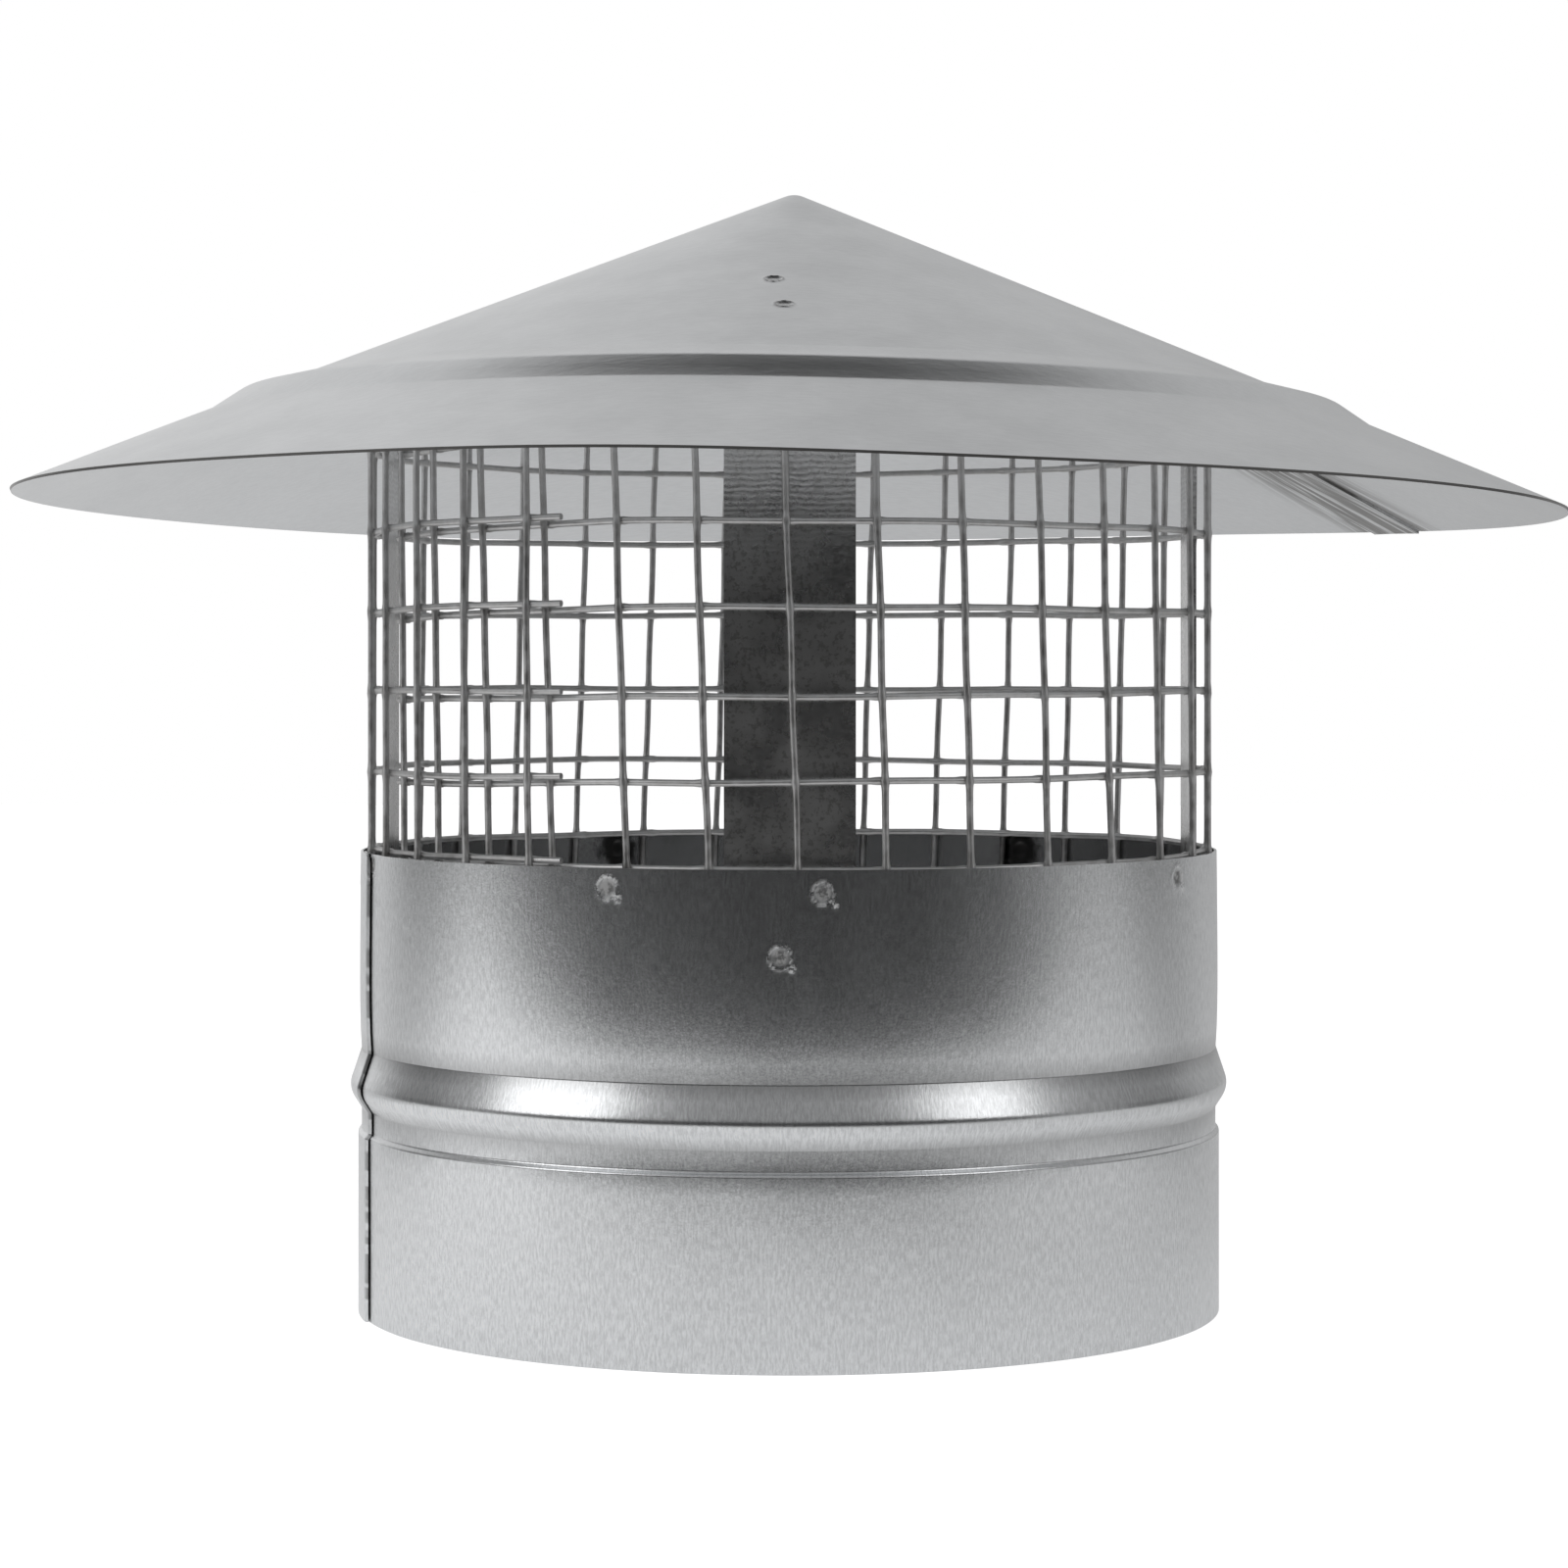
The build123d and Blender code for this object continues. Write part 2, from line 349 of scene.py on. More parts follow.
def collar_weld(azimuth, height, near):
    """Dimple and burn that the welds nearby leave at a place of the collar."""
    field, burn, splash = 0.0, 0.0, 0.0
    for weld_azimuth, weld_height in near:
        along = ((azimuth - weld_azimuth + 180) % 360 - 180) * radians(1) * NECK_RADIUS
        up = height - weld_height
        distance = hypot(along, up)
        field += weld_field(distance, WELD_RADIUS)
        burn = max(burn, exp(-(distance / BURN_RADIUS) ** 2))
        from_splash = hypot(along - SPATTER[0], up - SPATTER[1])
        splash = max(splash, exp(-(from_splash / SPATTER_RADIUS) ** 4))
    return field - splash, burn


def build_collar():
    """The collar with its bead, joggle, seam and the dimples of its spot welds."""
    section = rounded(
        [
            (SOCKET_RADIUS, 0),
            (SOCKET_RADIUS, SOCKET_DEPTH),
            (NECK_RADIUS, JOGGLE_TOP),
            (NECK_RADIUS, BEAD_FOOT),
            (NECK_RADIUS + BEAD_RISE, BEAD_CREST),
            (NECK_RADIUS, BEAD_TOP),
            (NECK_RADIUS, FINE_HEIGHT),
            (NECK_RADIUS, COLLAR_TOP),
        ],
        COLLAR_ROUNDING + [0.0],
        ROW_STEP,
    )
    low = [point for point in section if point.y < FINE_HEIGHT]
    high = [Vector((NECK_RADIUS, z)) for z in spaced(FINE_HEIGHT, COLLAR_TOP, FINE_ROW_STEP)]
    section = with_normals([point - Vector((draw_in(point.y), 0)) for point in low + high])
    weld_turns = [azimuth + turn for azimuth, _ in COLLAR_WELDS for turn in (-360, 0, 360)]
    fine_turns = weld_turns + [SEAM_START, SEAM_EDGE]
    azimuths = spaced(SEAM_START, SEAM_EDGE, TURN_STEP, FINE_TURN_STEP, fine_turns, FINE_TURN_REACH)
    vertices, uv = [], []
    marks = {"weld": [], "lip": [], "burn": [], "crease_shade": [], "inside": [], "cut": []}
    for side in (0, 1):
        for azimuth in azimuths:
            end_gap = min(azimuth - SEAM_START, SEAM_EDGE - azimuth) * radians(1) * NECK_RADIUS
            missing = max(SEAM_CORNER - end_gap, 0)
            corner_drop = SEAM_CORNER - sqrt(SEAM_CORNER ** 2 - missing ** 2)
            near = [weld for weld in COLLAR_WELDS if azimuth_gap(azimuth, weld[0]) < WELD_NEAR]
            for point, normal in section:
                height = point.y
                over = max(height - CORNER_START, 0) / (COLLAR_TOP - CORNER_START)
                field, burn = collar_weld(azimuth, height, near)
                thinned = SHEET * (1 - EDGE_THINNING * max(1 - end_gap / EDGE_RUN, 0))
                shift = collar_wave(azimuth, height) - WELD_DEPTH * field
                shift -= side * SHEET + (1 - side) * (SHEET - thinned)
                place = point + normal * shift
                vertices.append(collar_point(place.x, azimuth, place.y - over * corner_drop))
                uv.append((radians(azimuth) * NECK_RADIUS * MM, height * MM))
                marks["weld"].append(0.0 if side else max(field, 0))
                marks["lip"].append(0.0 if side else max(-field, 0))
                marks["burn"].append(burn if side else 0.0)
                # painted shade along the bead's folds, strongest right in each fold
                crease_gap = min(abs(height - BEAD_FOOT), abs(height - BEAD_TOP))
                marks["crease_shade"].append(exp(-(crease_gap / CREASE_SHADE_WIDTH) ** 2))
                # inner face, which carries the painted shade and the burn marks
                marks["inside"].append(float(side))
                # painted shade along the sheet's cut ends
                marks["cut"].append(exp(-(end_gap / EDGE_RUN) ** 2))
    faces = skin_faces(len(azimuths), len(section), False)
    return new_object("collar_skin", vertices, faces, marks, uv)


# Hood: a cone that leans a little on its straps
hood_up = Vector((HOOD_LEAN_RIGHT, HOOD_LEAN_FRONT, 1)).normalized()
hood_across = Vector((1, 0, -HOOD_LEAN_RIGHT)).normalized()
hood_back = hood_up.cross(hood_across)


def cone(radius):
    """Height of the hood's outer face over its rim, without the ring."""
    return (HOOD_RADIUS - radius) * HOOD_SLOPE


def hood_point(radius, azimuth, height):
    """Point of the frame, in metres, from a place in the leaning hood."""
    turn = radians(azimuth)
    outward = hood_across * sin(turn) - hood_back * cos(turn)
    return (Vector((0, 0, HOOD_RIM)) + outward * radius + hood_up * height) * MM


def hood_wave(azimuth, radius):
    """Upright unevenness of the rolled cone, in millimetres, with the bends of its rim."""
    turn = radians(azimuth)
    share = sin(pi * min(radius / HOOD_RADIUS, 1))
    ripple = 0.07 * sin(3 * turn + 0.6) + 0.03 * sin(8 * turn + radius / 23)
    bend = 0.0
    for centre, reach, rise in RIM_BENDS:
        bend += rise * exp(-(azimuth_gap(azimuth, centre) / reach) ** 2)
    return share * ripple + bend * (radius / HOOD_RADIUS) ** 3


def hood_section():
    """Outer face of the hood as points and normals from the nose to the rim."""
    nose = rounded(
        [
            (NOSE_START, cone(NOSE_FLAT)),
            (NOSE_FLAT, cone(NOSE_FLAT)),
            (WELDED_START, cone(WELDED_START)),
        ],
        HOOD_ROUNDING[:1],
        NOSE_STEP,
    )
    count = round((WELDED_END - WELDED_START) / WELDED_STEP)
    radii = [WELDED_START + n * WELDED_STEP for n in range(1, count + 1)]
    welded = [Vector((radius, cone(radius))) for radius in radii]
    ring = rounded(
        [
            (WELDED_END, cone(WELDED_END)),
            (RING_FOOT, cone(RING_FOOT)),
            (RING_CREST, cone(RING_CREST) + RING_RISE),
            (RING_END, cone(RING_END)),
            (HOOD_RADIUS, 0),
        ],
        HOOD_ROUNDING[1:],
        RIM_STEP,
    )
    edge = Vector((HOOD_RADIUS - RIM_EDGE, cone(HOOD_RADIUS - RIM_EDGE)))
    points = nose + welded + ring[1:-1] + [edge, ring[-1]]
    return [(point, -normal) for point, normal in with_normals(points)]


def build_hood():
    """The hood with its ring, spot-weld dimples and the lap seam on its underside."""
    section = hood_section()
    first, last = HOOD_FIRST_AZIMUTH, HOOD_FIRST_AZIMUTH + 360
    weld_turns = [azimuth for azimuth, _ in HOOD_WELDS]
    azimuths = spaced(first, last, HOOD_TURN_STEP, HOOD_FINE_TURN_STEP, weld_turns, HOOD_FINE_TURN_REACH)[:-1]
    vertices, uv = [], []
    marks = {"weld": [], "lip": [], "scuff": [], "rim": []}

    def mark(weld, lip, scuff, rim):
        """Adds the marks of one point."""
        for name, value in zip(marks, (weld, lip, scuff, rim)):
            marks[name].append(value)

    for side in (0, 1):
        for azimuth in azimuths:
            near = [weld for weld in HOOD_WELDS if azimuth_gap(azimuth, weld[0]) < WELD_NEAR]
            for point, normal in section:
                field = 0.0
                for weld_azimuth, weld_radius in near:
                    along = azimuth_gap(azimuth, weld_azimuth) * radians(1) * weld_radius
                    field += weld_field(hypot(along, point.x - weld_radius), HOOD_WELD_RADIUS)
                aside = point.x * sin(radians(min(azimuth_gap(azimuth, LAP_AZIMUTH), 90)))
                scuff = side * exp(-(aside / SCUFF_HALF) ** 6)
                place = point - normal * (HOOD_WELD_DEPTH * field + side * SHEET)
                vertices.append(hood_point(place.x, azimuth, place.y + hood_wave(azimuth, point.x)))
                uv.append((radians(azimuth) * UNROLL_RADIUS * MM, point.x * MM))
                outside = 1 - side
                at_rim = float(point.x > HOOD_RADIUS - RIM_EDGE / 2)
                mark(outside * max(field, 0), outside * max(-field, 0), scuff, at_rim)
    columns, rows = len(azimuths), len(section)
    faces = skin_faces(columns, rows, True)
    add_lap(section, vertices, uv, faces, mark)
    return new_object("hood_skin", vertices, faces, marks, uv)


def add_lap(section, vertices, uv, faces, mark):
    """Second layer of sheet along the seam, under the hood's inner face."""
    radii = [point.x for point, _ in section]

    def inner(radius):
        """Height of the hood's inner face over its rim."""
        n = min(max(bisect(radii, radius), 1), len(radii) - 1)
        (low, normal), (high, _) = section[n - 1], section[n]
        t = (radius - low.x) / (high.x - low.x)
        return low.lerp(high, t).y - SHEET * normal.y

    steps = spaced(LAP_START, HOOD_RADIUS - LAP_SETBACK, LAP_DIVISION)
    across = [-LAP_HALF, -LAP_HALF / 2, 0.0, LAP_HALF / 2, LAP_HALF]
    first = len(vertices)
    for layer in (0, 1):
        for along in steps:
            for aside in across:
                radius = min(hypot(along, aside), HOOD_RADIUS)
                azimuth = LAP_AZIMUTH + degrees(atan2(aside, along))
                height = inner(radius) + hood_wave(azimuth, radius) + LAP_BITE - layer * (SHEET + LAP_BITE)
                vertices.append(hood_point(radius, azimuth, height))
                uv.append((radians(azimuth) * UNROLL_RADIUS * MM, radius * MM))
                mark(0.0, 0.0, 1.0, 0.0)
    faces.extend(tuple(first + n for n in face) for face in skin_faces(len(steps), len(across), False))


# Bird mesh: round wires, welded at each crossing
def tuck(cell):
    """How far the mesh lies inside its outer layer, at a cell counted from the outer end."""
    return TUCK_DEPTH * min(max((cell - TUCK_FULL) / TUCK_CELLS + 1, 0), 1)


def lap_step(cell):
    """How far the rows stand above their level at the overlap, where the two ends do not line up."""
    lift = OUTER_LIFT * max(1 - cell / LIFT_CELLS, 0)
    drop = INNER_DROP * max(1 - (UPRIGHT_COUNT - cell) / LIFT_CELLS, 0)
    return lift - drop


def bulge(distance):
    """Girth of a wire near a welded crossing, as a share of its own."""
    return 1 + CROSSING_BULGE * exp(-(distance / CROSSING_REACH) ** 2)


def add_wire(path, girths, vertices, faces, marks, uv, burns):
    """Round wire along a path of points in metres, with cut ends."""
    sides = WIRE_SIDES
    first = len(vertices)
    length = 0.0
    for n, point in enumerate(path):
        along = (path[min(n + 1, len(path) - 1)] - path[max(n - 1, 0)]).normalized()
        outward = Vector((point.x, point.y, 0)).normalized()
        across = along.cross(outward).normalized()
        outward = across.cross(along)
        length += (point - path[max(n - 1, 0)]).length
        for k in range(sides):
            turn = 2 * pi * k / sides
            ray = outward * cos(turn) + across * sin(turn)
            vertices.append(point + ray * WIRE_RADIUS * girths[n] * MM)
            uv.append((length, turn * WIRE_RADIUS * MM))
            marks["burn"].append(burns[n])
    for n in range(len(path) - 1):
        for k in range(sides):
            j = (k + 1) % sides
            a = first + n * sides
            faces.append((a + k, a + j, a + sides + j, a + sides + k))
    last = first + (len(path) - 1) * sides
    faces.append(tuple(first + k for k in reversed(range(sides))))
    faces.append(tuple(last + k for k in range(sides)))


def build_mesh_wires():
    """Uprights and rows of the bird mesh, slightly uneven as rolled mesh is."""
    chance = random.Random(MESH_SEED)
    vertices, faces, uv = [], [], []
    marks = {"burn": []}
    row_heights = [COLLAR_TOP + row * ROW_PITCH for row in range(ROW_COUNT)]
    for number in range(UPRIGHT_COUNT):
        inset = (tuck(number - 0.5) + tuck(number + 0.5)) / 2
        azimuth = MESH_EDGE_AZIMUTH - number * CELL_ANGLE
        share = OUTER_TWIST if number < OUTER_UPRIGHTS else 1.0
        twist = MESH_TWIST * share + chance.uniform(-TWIST_SPREAD, TWIST_SPREAD)
        bow = chance.uniform(-UPRIGHT_BOW, UPRIGHT_BOW)
        path, burns, girths = [], [], []
        for n in range(UPRIGHT_STEPS + 1):
            t = n / UPRIGHT_STEPS
            height = MESH_FOOT + t * (MESH_HEAD - MESH_FOOT)
            kink = UPRIGHT_KINK * sin(pi * 6 * t + number)
            turn = azimuth + twist * (0.5 - t) + bow * sin(pi * t) + kink
            path.append(polar(UPRIGHT_RADIUS - inset, turn, height))
            girths.append(bulge(min(abs(height - row_height) for row_height in row_heights)))
            gap = min(azimuth_gap(turn, weld[0]) for weld in MESH_WELDS)
            up = height - MESH_WELD_HEIGHT
            burns.append(exp(-(gap / WIRE_BURN_TURN) ** 2) * exp(-(up / WIRE_BURN_RISE) ** 2))
        add_wire(path, girths, vertices, faces, marks, uv, burns)
    overhang = ROW_OVERHANG / CELL
    for row_height in row_heights:
        cells = UPRIGHT_COUNT - 1 + 2 * overhang
        count = round(cells * ROW_STEPS)
        phase = chance.uniform(0, 2 * pi)
        path, girths = [], []
        for n in range(count + 1):
            cell = -overhang + cells * n / count
            azimuth = MESH_EDGE_AZIMUTH - cell * CELL_ANGLE
            sag = ROW_SAG * sin(radians(azimuth) * 2 + phase)
            sag += ROW_RIPPLE * sin(radians(azimuth) * 9 + 2 * phase)
            radius = ROW_RADIUS - tuck(cell) + ROW_SPRING * cos(2 * pi * cell)
            path.append(polar(radius, azimuth, row_height + sag + lap_step(cell)))
            girths.append(bulge(abs(cell - round(cell)) * CELL))
        add_wire(path, girths, vertices, faces, marks, uv, [0.0] * len(path))
    return new_object("mesh_wires", vertices, faces, marks, uv)


# Materials
def add(tree, kind, sockets=None, **settings):
    """New node with its settings and sockets. A socket takes a value, or the output it is linked to."""
    node = tree.nodes.new(kind)
    for name, value in settings.items():
        setattr(node, name, value)
    for name, value in (sockets or {}).items():
        if isinstance(value, bpy.types.NodeSocket):
            tree.links.new(value, node.inputs[name])
        else:
            node.inputs[name].default_value = value
    return node


def calc(tree, operation, one, other=0.0, clamp=False):
    """Output of a math node."""
    return add(tree, "ShaderNodeMath", {0: one, 1: other}, operation=operation, use_clamp=clamp).outputs[0]


def scaled(tree, value, low, high, to_low, to_high):
    """Output of a smooth map from one range to another."""
    sockets = {"Value": value, "From Min": low, "From Max": high, "To Min": to_low, "To Max": to_high}
    return add(tree, "ShaderNodeMapRange", sockets, interpolation_type="SMOOTHSTEP").outputs[0]


def blend(tree, share, one, other):
    """Output of a colour mix."""
    node = add(tree, "ShaderNodeMix", data_type="RGBA")
    for socket, value in ((node.inputs[0], share), (node.inputs[6], one), (node.inputs[7], other)):
        if isinstance(value, bpy.types.NodeSocket):
            tree.links.new(value, socket)
        else:
            socket.default_value = value
    return node.outputs[2]


def grey(value, warmth=0.0):
    """Neutral colour, a little warmer or cooler."""
    return (value * (1 + warmth), value, value * (1 - warmth), 1.0)


def zinc(value):
    """Grey of bright zinc, which is a little blue."""
    return grey(value, ZINC_TINT)


def noise(tree, vector, scale, detail=3.0, roughness=0.55, stretch=(1, 1, 1)):
    """Output of a noise texture over a stretched vector."""
    placed = add(tree, "ShaderNodeVectorMath", {0: vector, 1: stretch}, operation="MULTIPLY").outputs[0]
    sockets = {"Vector": placed, "Scale": scale, "Detail": detail, "Roughness": roughness}
    return add(tree, "ShaderNodeTexNoise", sockets).outputs["Fac"]


def attribute(tree, name):
    """Output of a float mark."""
    return add(tree, "ShaderNodeAttribute", attribute_name=name).outputs["Fac"]


def metal(name, tree_rules):
    """Metal whose rules give base colour, roughness, bump height, bump strength and sideways blur."""
    material = bpy.data.materials.new(name)
    material.use_nodes = True
    tree = material.node_tree
    shader = tree.nodes["Principled BSDF"]
    shader.inputs["Metallic"].default_value = 1.0
    colour, roughness, height, strength, stretch = tree_rules(tree)
    if stretch:
        across = add(tree, "ShaderNodeTangent", direction_type="RADIAL", axis="Z").outputs[0]
        tree.links.new(across, shader.inputs["Tangent"])
        shader.inputs["Anisotropic"].default_value = stretch
    tree.links.new(colour, shader.inputs["Base Color"])
    tree.links.new(roughness, shader.inputs["Roughness"])
    bump = add(tree, "ShaderNodeBump", {"Height": height, "Strength": strength, "Distance": BUMP_DEPTH})
    tree.links.new(bump.outputs["Normal"], shader.inputs["Normal"])
    return material


def hood_rules(tree):
    """Matt zinc with soft cloudiness, dark rings at the welds, a scuffed seam and a dark cut rim."""
    place = add(tree, "ShaderNodeTexCoord").outputs["Object"]
    sheet = add(tree, "ShaderNodeUVMap", uv_map="sheet").outputs["UV"]
    cloud = noise(tree, place, scale=14, detail=4)
    grain = noise(tree, place, scale=1100, detail=3, roughness=0.65, stretch=(0.25, 1.0, 1.0))
    scratches = noise(tree, sheet, scale=900, detail=3, roughness=0.6, stretch=(1.0, 0.03, 1.0))
    colour = blend(tree, scaled(tree, cloud, 0.3, 0.7, 0, 1), zinc(0.72), zinc(0.75))
    colour = blend(tree, scaled(tree, grain, 0.35, 0.65, 0, 0.25), colour, zinc(0.6))
    weld = attribute(tree, "weld")
    colour = blend(tree, calc(tree, "MULTIPLY", weld, 0.3, True), colour, grey(0.4, 0.02))
    lip = calc(tree, "MULTIPLY", attribute(tree, "lip"), 0.85, True)
    colour = blend(tree, lip, colour, grey(0.12, 0.03))
    scuff = calc(tree, "MULTIPLY", attribute(tree, "scuff"), scaled(tree, scratches, 0.38, 0.55, 0.1, 0.9))
    colour = blend(tree, scuff, colour, grey(0.16, 0.03))
    rim = attribute(tree, "rim")
    colour = blend(tree, rim, colour, grey(0.1, 0.02))
    roughness = scaled(tree, noise(tree, place, 60, 3), 0.3, 0.7, 0.28, 0.32)
    height = calc(tree, "ADD", grain, calc(tree, "MULTIPLY", noise(tree, place, 260, 3), 1.5))
    return colour, roughness, height, HOOD_BUMP, 0.0


def collar_rules(tree):
    """Bright zinc with fine upright streaks, rough welds, painted shade in the bead's folds, a dashed line of
    painted shade along the cut ends, and an inside darkened by painted shade and burnt near its welds.
    """
    place = add(tree, "ShaderNodeTexCoord").outputs["Object"]
    sheet = add(tree, "ShaderNodeUVMap", uv_map="sheet").outputs["UV"]
    streak = noise(tree, sheet, scale=1900, detail=3, roughness=0.75, stretch=(1.0, 0.2, 1.0))
    patches = noise(tree, sheet, scale=90, detail=3, roughness=0.6, stretch=(1.0, 0.4, 1.0))
    grain = noise(tree, place, scale=1000, detail=3, roughness=0.75)
    colour = blend(tree, scaled(tree, streak, 0.35, 0.65, 0, 1), zinc(0.67), zinc(0.85))
    colour = blend(tree, scaled(tree, grain, 0.58, 0.7, 0, 0.5), colour, zinc(0.95))
    # painted shade: darker in the folds at the bead's foot and top
    colour = blend(tree, calc(tree, "MULTIPLY", attribute(tree, "crease_shade"), 0.5), colour, grey(0.25))
    splash = noise(tree, place, scale=700, detail=4, roughness=0.7)
    inside = attribute(tree, "inside")
    soot = noise(tree, place, scale=260, detail=4, roughness=0.7)
    burn = calc(tree, "ADD", attribute(tree, "burn"), calc(tree, "SUBTRACT", soot, 0.5))
    burn = calc(tree, "MULTIPLY", inside, scaled(tree, burn, 0.3, 0.7, 0.0, 0.95))
    # painted shade: the whole inner face is darkened towards grey
    colour = blend(tree, calc(tree, "MULTIPLY", inside, 0.45), colour, grey(0.35, 0.01))
    colour = blend(tree, burn, colour, grey(0.04, 0.03))
    weld = calc(tree, "MULTIPLY", attribute(tree, "weld"), 1.0, True)
    nugget = blend(tree, scaled(tree, splash, 0.42, 0.58, 0, 1), grey(0.25), grey(0.6))
    colour = blend(tree, weld, colour, nugget)
    lip = calc(tree, "MULTIPLY", attribute(tree, "lip"), scaled(tree, splash, 0.46, 0.54, 0, 1), True)
    colour = blend(tree, lip, colour, grey(1.0))
    spattered = calc(tree, "MAXIMUM", weld, lip)
    # dashed line of painted shade along the cut ends, standing in for the shade of the overlapping edge
    shade_dashes = scaled(tree, noise(tree, sheet, 130, 2, 0.5, (0.0, 1.0, 1.0)), 0.47, 0.51, 0, 0.7)
    colour = blend(tree, calc(tree, "MULTIPLY", attribute(tree, "cut"), shade_dashes), colour, grey(0.12))
    roughness = scaled(tree, patches, 0.3, 0.7, 0.235, 0.255)
    roughness = calc(tree, "ADD", roughness, calc(tree, "MULTIPLY", spattered, 0.4))
    height = calc(tree, "ADD", streak, calc(tree, "MULTIPLY", grain, 0.6))
    crust = calc(tree, "MULTIPLY", calc(tree, "MULTIPLY", spattered, splash), 4.0)
    height = calc(tree, "ADD", height, crust)
    return colour, roughness, height, COLLAR_BUMP, COLLAR_BLUR


def wire_rules(tree):
    """Galvanised wire, duller and mottled, burnt where it is welded to the collar."""
    place = add(tree, "ShaderNodeTexCoord").outputs["Object"]
    mottle = noise(tree, place, scale=240, detail=4, roughness=0.6)
    grain = noise(tree, place, scale=1800, detail=2)
    colour = blend(tree, scaled(tree, mottle, 0.35, 0.65, 0, 1), grey(0.5, 0.01), grey(0.62))
    colour = blend(tree, attribute(tree, "burn"), colour, grey(0.12, 0.05))
    roughness = scaled(tree, mottle, 0.3, 0.7, 0.3, 0.48)
    return colour, roughness, calc(tree, "ADD", grain, mottle), WIRE_BUMP, 0.0


def strap_rules(tree):
    """Zinc strip with dark speckles, and fine level strain lines below its upper bend."""
    place = add(tree, "ShaderNodeTexCoord").outputs["Object"]
    speckle = noise(tree, place, scale=900, detail=3, roughness=0.7)
    patch = noise(tree, place, scale=90, detail=3, roughness=0.6)
    height = add(tree, "ShaderNodeSeparateXYZ", {0: place}).outputs["Z"]
    phase = calc(tree, "MULTIPLY", height, 2 * pi / STRAIN_PITCH)
    drift = calc(tree, "MULTIPLY", noise(tree, place, 170, 3), STRAIN_DRIFT)
    lines = calc(tree, "SINE", calc(tree, "ADD", phase, drift))
    strained = scaled(tree, height, STRAIN_START, STRAIN_FULL, 0, 1)
    colour = blend(tree, scaled(tree, patch, 0.3, 0.7, 0, 1), grey(0.5), grey(0.55))
    colour = blend(tree, scaled(tree, speckle, 0.5, 0.62, 0, 0.6), colour, grey(0.28, 0.02))
    bright = calc(tree, "MULTIPLY", strained, scaled(tree, lines, -0.6, 1.0, 0.08, 0.3))
    colour = blend(tree, bright, colour, grey(0.9))
    roughness = scaled(tree, patch, 0.3, 0.7, 0.25, 0.32)
    ridges = calc(tree, "MULTIPLY", calc(tree, "MULTIPLY", strained, lines), 0.15)
    relief = calc(tree, "ADD", speckle, ridges)
    return colour, roughness, relief, STRAP_BUMP, 0.0


# Room: white ground, bright behind and at the sides, dark behind the camera and overhead
def build_floor():
    """Pale floor that ends before the camera, so that the collar also mirrors a dark room."""
    (left, right), (near, far) = FLOOR_X, FLOOR_Y
    vertices = [(left, near, 0), (right, near, 0), (right, far, 0), (left, far, 0)]
    mesh = bpy.data.meshes.new("floor")
    mesh.from_pydata(vertices, [], [(0, 1, 2, 3)])
    floor = bpy.data.objects.new("floor", mesh)
    bpy.context.collection.objects.link(floor)
    material = bpy.data.materials.new("floor_white")
    material.use_nodes = True
    tree = material.node_tree
    tree.nodes.clear()
    ray = add(tree, "ShaderNodeLightPath").outputs
    place = add(tree, "ShaderNodeTexCoord").outputs["Object"]
    across, depth, _ = add(tree, "ShaderNodeSeparateXYZ", {0: place}).outputs
    reach = scaled(tree, depth, FLOOR_DARK_Y, FLOOR_LIT_Y, 0.0, 1.0)
    sideways = scaled(tree, across, -0.3, 0.3, 1.08, 0.6)
    distance = add(tree, "ShaderNodeVectorMath", {0: place}, operation="LENGTH").outputs["Value"]
    rear = calc(tree, "DIVIDE", depth, calc(tree, "MAXIMUM", distance, FAINT))
    gap = calc(tree, "ABSOLUTE", calc(tree, "SUBTRACT", rear, DIM_BEARING))
    dip = scaled(tree, gap, 0.08, 0.36, 0.6, 0.0)
    dip = calc(tree, "MULTIPLY", dip, scaled(tree, distance, 0.25, 0.6, 0.0, 1.0))
    sideways = calc(tree, "MULTIPLY", sideways, calc(tree, "SUBTRACT", 1.0, dip))
    behind = scaled(tree, depth, -0.1, 0.3, 1.0, 0.78)
    tone = blend(tree, noise(tree, place, 30), grey(0.88), grey(0.9))
    shown = calc(tree, "MAXIMUM", reach, ray["Is Camera Ray"])
    diffuse = add(tree, "ShaderNodeBsdfDiffuse", {"Color": blend(tree, shown, grey(0.05), tone)}).outputs[0]
    seen = calc(tree, "MULTIPLY", ray["Is Camera Ray"], FLOOR_SEEN_GLOW)
    mirrored = calc(tree, "MULTIPLY", ray["Is Glossy Ray"], FLOOR_MIRRORED_GLOW)
    mirrored = calc(tree, "MULTIPLY", mirrored, reach)
    mirrored = calc(tree, "MULTIPLY", calc(tree, "MULTIPLY", mirrored, sideways), behind)
    strength = calc(tree, "ADD", seen, mirrored)
    glow = add(tree, "ShaderNodeEmission", {"Strength": strength}).outputs[0]
    both = add(tree, "ShaderNodeAddShader", {0: diffuse, 1: glow}).outputs[0]
    add(tree, "ShaderNodeOutputMaterial", {"Surface": both})
    mesh.materials.append(material)


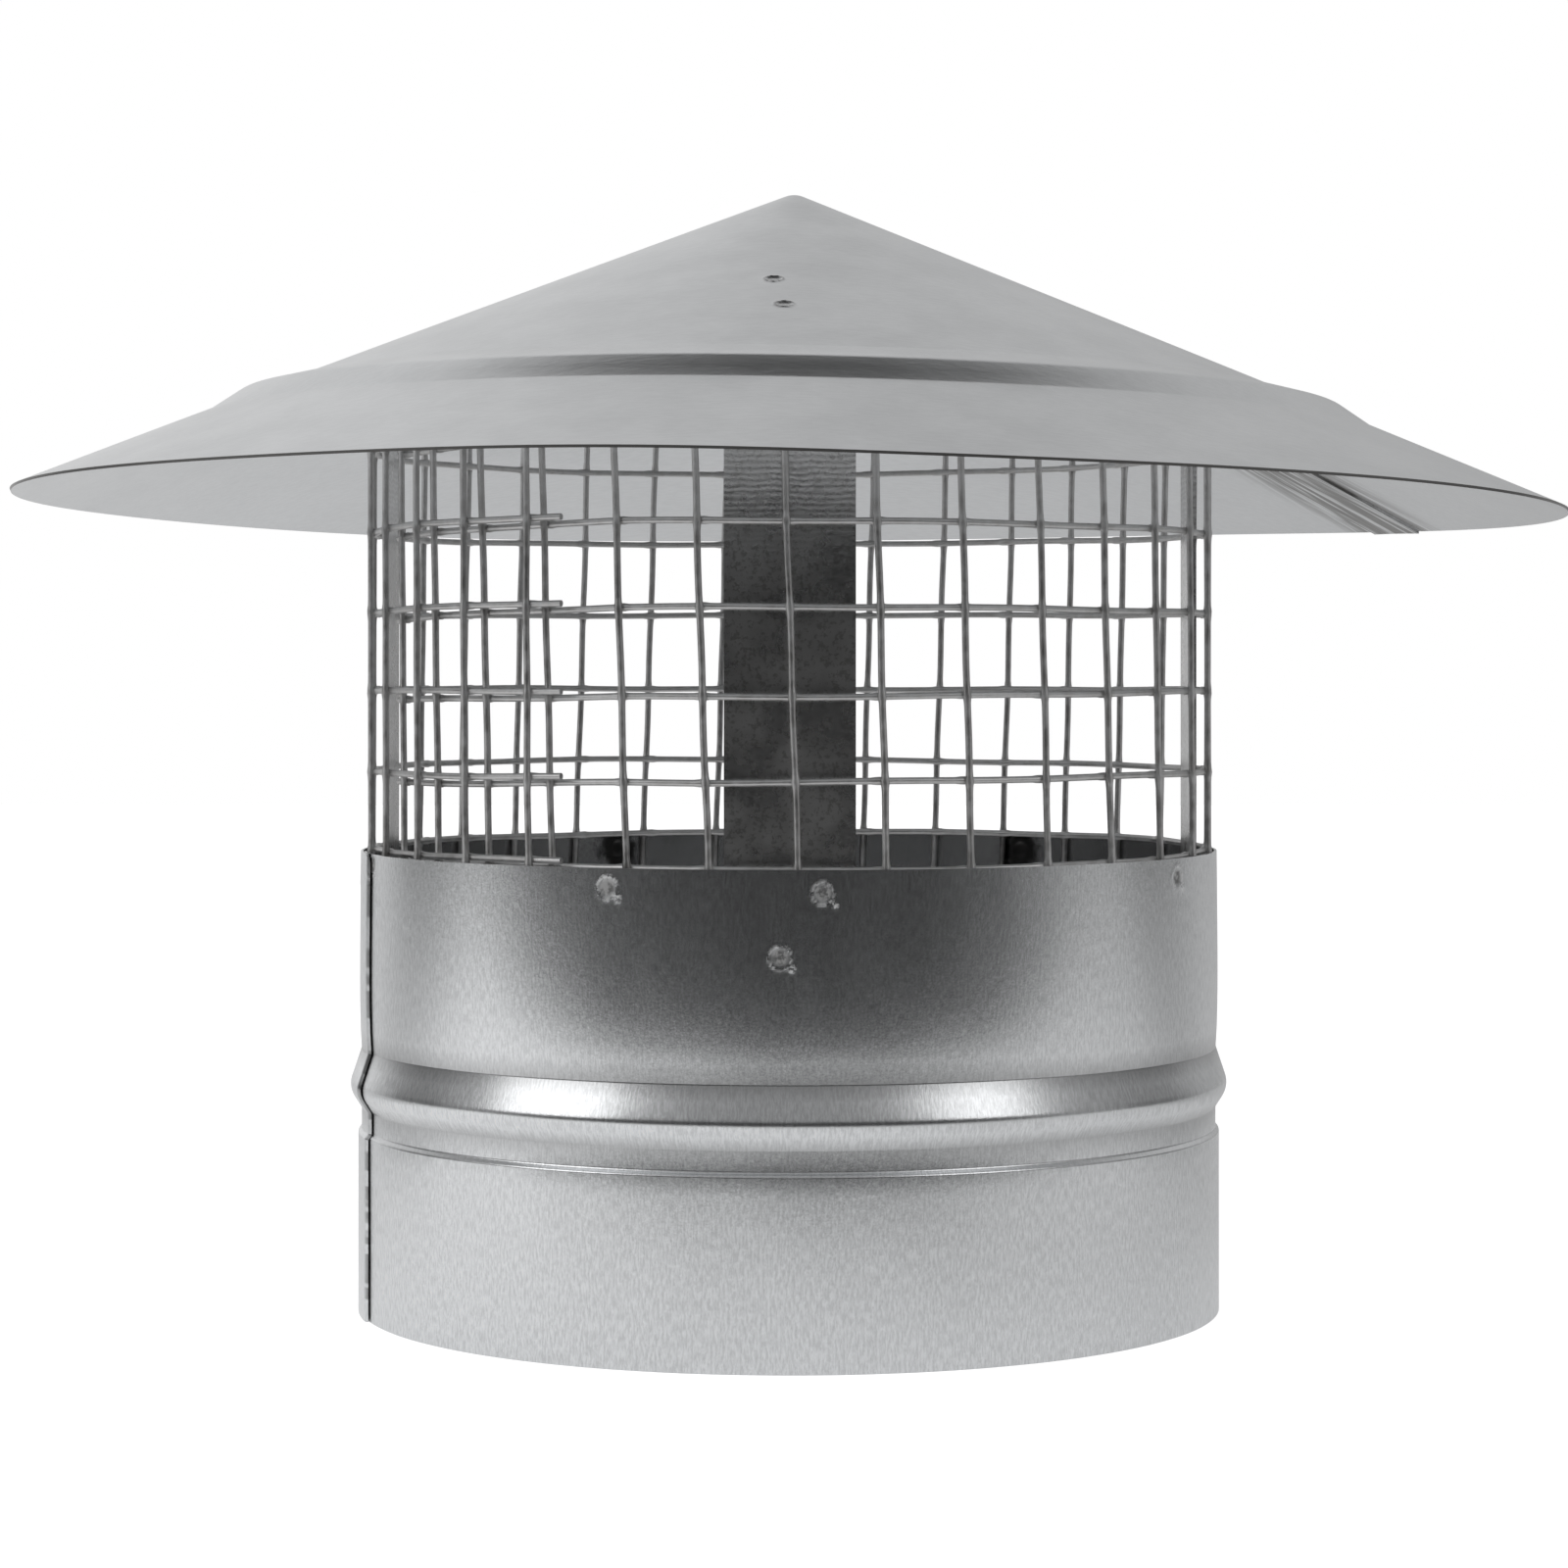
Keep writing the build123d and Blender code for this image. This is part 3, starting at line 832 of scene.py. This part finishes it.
def build_world():
    """White for the camera. For the metal, bright sides and back, a front lit high up, and a dark ceiling."""
    world = bpy.data.worlds.new("studio")
    bpy.context.scene.world = world
    world.use_nodes = True
    tree = world.node_tree
    tree.nodes.clear()
    way = add(tree, "ShaderNodeTexCoord").outputs["Generated"]
    x, y, z = add(tree, "ShaderNodeSeparateXYZ", {0: way}).outputs
    squares = calc(tree, "ADD", calc(tree, "MULTIPLY", x, x), calc(tree, "MULTIPLY", y, y))
    level = calc(tree, "MAXIMUM", calc(tree, "SQRT", squares), FAINT)
    front_x, front_y = FRONT_WAY
    ahead = calc(tree, "ADD", calc(tree, "MULTIPLY", x, front_x), calc(tree, "MULTIPLY", y, front_y))
    facing = calc(tree, "DIVIDE", ahead, level)
    sides = scaled(tree, facing, 0.05, 0.55, SIDE_GLOW, 0.0)
    front = scaled(tree, facing, 0.05, 0.55, 0.0, FRONT_GLOW)
    front = calc(tree, "MULTIPLY", front, scaled(tree, z, 0.13, 0.34, 0, 1))
    back = scaled(tree, facing, -0.85, -0.3, BACK_GLOW, 0.0)
    roof = calc(tree, "SUBTRACT", z, scaled(tree, facing, -0.8, -0.4, 0.0, 0.17))
    ceiling = scaled(tree, roof, 0.70, 0.85, 1.0, 0.0)
    left = scaled(tree, x, -0.3, 0.3, 1.4, 0.78)
    rear = calc(tree, "DIVIDE", y, level)
    gap = calc(tree, "ABSOLUTE", calc(tree, "SUBTRACT", rear, DIM_BEARING))
    dip = scaled(tree, gap, 0.08, 0.36, 0.85, 0.0)
    dip = calc(tree, "MULTIPLY", dip, scaled(tree, z, 0.1, 0.4, 1.0, 0.0))
    sides = calc(tree, "MULTIPLY", sides, calc(tree, "SUBTRACT", 1.0, dip))
    low = scaled(tree, z, 0.05, 0.4, 1.0, 0.0)
    low = calc(tree, "MULTIPLY", low, scaled(tree, x, -0.12, 0.12, 0.45, -0.4))
    back = calc(tree, "MULTIPLY", back, calc(tree, "ADD", left, low))
    around = calc(tree, "ADD", calc(tree, "ADD", sides, front), back)
    strength = calc(tree, "ADD", calc(tree, "MULTIPLY", around, ceiling), LEAST_GLOW)
    room = add(tree, "ShaderNodeBackground", {"Color": grey(1.0), "Strength": strength}).outputs[0]
    white = add(tree, "ShaderNodeBackground", {"Color": grey(1.0), "Strength": 1.0}).outputs[0]
    ray = add(tree, "ShaderNodeLightPath").outputs["Is Camera Ray"]
    both = add(tree, "ShaderNodeMixShader", {0: ray, 1: room, 2: white}).outputs[0]
    add(tree, "ShaderNodeOutputWorld", {"Surface": both})


def build_lamp(name, place, size, power):
    """Soft rectangular lamp aimed at the cap."""
    data = bpy.data.lights.new(name, "AREA")
    data.shape = "RECTANGLE"
    data.size, data.size_y = size
    data.energy = power
    lamp = bpy.data.objects.new(name, data)
    lamp.location = place
    lamp.rotation_euler = (Vector(LAMP_TARGET) - Vector(place)).to_track_quat("-Z", "Y").to_euler()
    lamp.visible_camera = False
    bpy.context.collection.objects.link(lamp)


def build_camera():
    """The photo's view: level, from the front, a little below the hood's rim."""
    data = bpy.data.cameras.new("camera")
    data.lens = CAMERA_LENS
    data.shift_x, data.shift_y = CAMERA_SHIFT
    camera = bpy.data.objects.new("camera", data)
    camera.location = CAMERA_PLACE
    camera.rotation_euler = (radians(90), 0, 0)
    bpy.context.collection.objects.link(camera)
    bpy.context.scene.camera = camera


def dress(obj, node, material):
    """A piece that stands for a CAD node."""
    obj.data.materials.append(material)
    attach(obj, "root")
    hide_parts(node)


dress(build_hood(), "hood", metal("hood_zinc", hood_rules))
dress(build_collar(), "collar", metal("collar_zinc", collar_rules))
dress(build_mesh_wires(), "bird_mesh", metal("wire_zinc", wire_rules))
strap_zinc = metal("strap_zinc", strap_rules)
for node_name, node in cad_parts.items():
    if node_name.startswith("strap_"):
        node.data.materials.clear()
        node.data.materials.append(strap_zinc)

build_floor()
build_world()
for lamp_name, (place, size, power) in LAMPS.items():
    build_lamp(lamp_name, place, size, power)
build_camera()
bpy.context.scene.view_settings.view_transform = "Standard"
